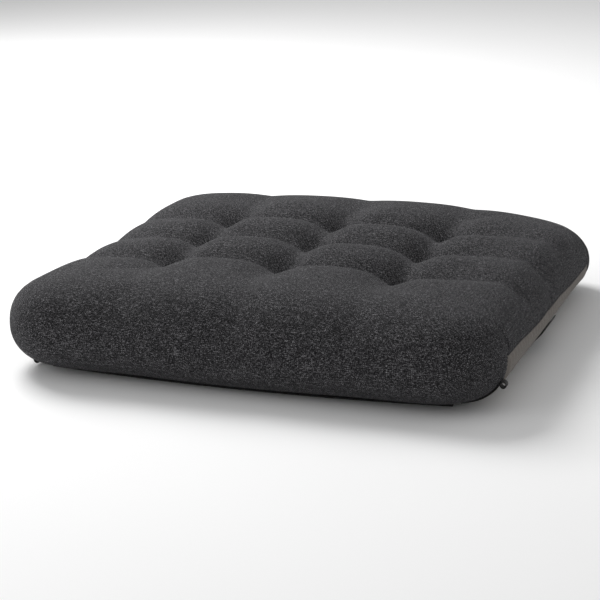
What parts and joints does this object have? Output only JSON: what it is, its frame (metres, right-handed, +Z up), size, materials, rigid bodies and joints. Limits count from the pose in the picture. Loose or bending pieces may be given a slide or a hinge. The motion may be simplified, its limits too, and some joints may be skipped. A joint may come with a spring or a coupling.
{
  "type": "seat cushion",
  "caption": "Square tufted seat cushion in dark mélange cloth with a taupe lining, elastic holding bands under its front and back edges and a webbing tab under each side.",
  "frame": {"origin": "middle of the flat that the cushion rests on", "axes": "+X to the right along the front edge, +Y to the back edge, +Z up through the tufted top"},
  "size_m": [0.6, 0.573, 0.1225],
  "materials": {
    "melange_fabric": "matte",
    "lining_fabric": "matte",
    "polyester_wadding": "matte",
    "polyurethane_foam": "matte",
    "tie_thread": "matte",
    "seam_thread": "matte",
    "webbing_thread": "satin",
    "elastic_band": "matte",
    "webbing": "satin"
  },
  "bodies": {
    "cushion": {"band_end_back_left": "elastic_band", "band_end_back_right": "elastic_band", "band_end_front_left": "elastic_band", "band_end_front_right": "elastic_band", "bottom_cover": "lining_fabric", "bottom_wadding": "polyester_wadding", "corner_dart_back_left": "seam_thread", "corner_dart_back_right": "seam_thread", "corner_dart_front_left": "seam_thread", "corner_dart_front_right": "seam_thread", "foam_core": "polyurethane_foam", "hem_seam_back": "seam_thread", "hem_seam_front": "seam_thread", "side_seam_left": "seam_thread", "side_seam_right": "seam_thread", "tab_base_left": "webbing", "tab_base_right": "webbing", "tab_stitches_left": "webbing_thread", "tab_stitches_right": "webbing_thread", "top_cover": "melange_fabric", "top_wadding": "polyester_wadding", "tuft_tie_back_left": "tie_thread", "tuft_tie_back_middle": "tie_thread", "tuft_tie_back_right": "tie_thread", "tuft_tie_centre_left": "tie_thread", "tuft_tie_centre_middle": "tie_thread", "tuft_tie_centre_right": "tie_thread", "tuft_tie_front_left": "tie_thread", "tuft_tie_front_middle": "tie_thread", "tuft_tie_front_right": "tie_thread"},
    "front_band": {"front_band": "elastic_band"},
    "back_band": {"back_band": "elastic_band"},
    "side_tab_left": {"side_tab_left": "webbing"},
    "side_tab_right": {"side_tab_right": "webbing"}
  },
  "joints": [
    {"name": "front_band_swing", "type": "hinge", "parent": "cushion", "child": "front_band", "pos_m": [0, -0.227, 0.0013], "axis": [1, 0, 0], "range_deg": [0, 120]},
    {"name": "back_band_swing", "type": "hinge", "parent": "cushion", "child": "back_band", "pos_m": [0, 0.227, 0.0013], "axis": [-1, 0, 0], "range_deg": [0, 120]},
    {"name": "right_tab_swing", "type": "hinge", "parent": "cushion", "child": "side_tab_right", "pos_m": [0.25, 0, 0.0017], "axis": [0, 1, 0], "range_deg": [0, 90]},
    {"name": "left_tab_swing", "type": "hinge", "parent": "cushion", "child": "side_tab_left", "pos_m": [-0.25, 0, 0.0017], "axis": [0, -1, 0], "range_deg": [0, 90]}
  ]
}
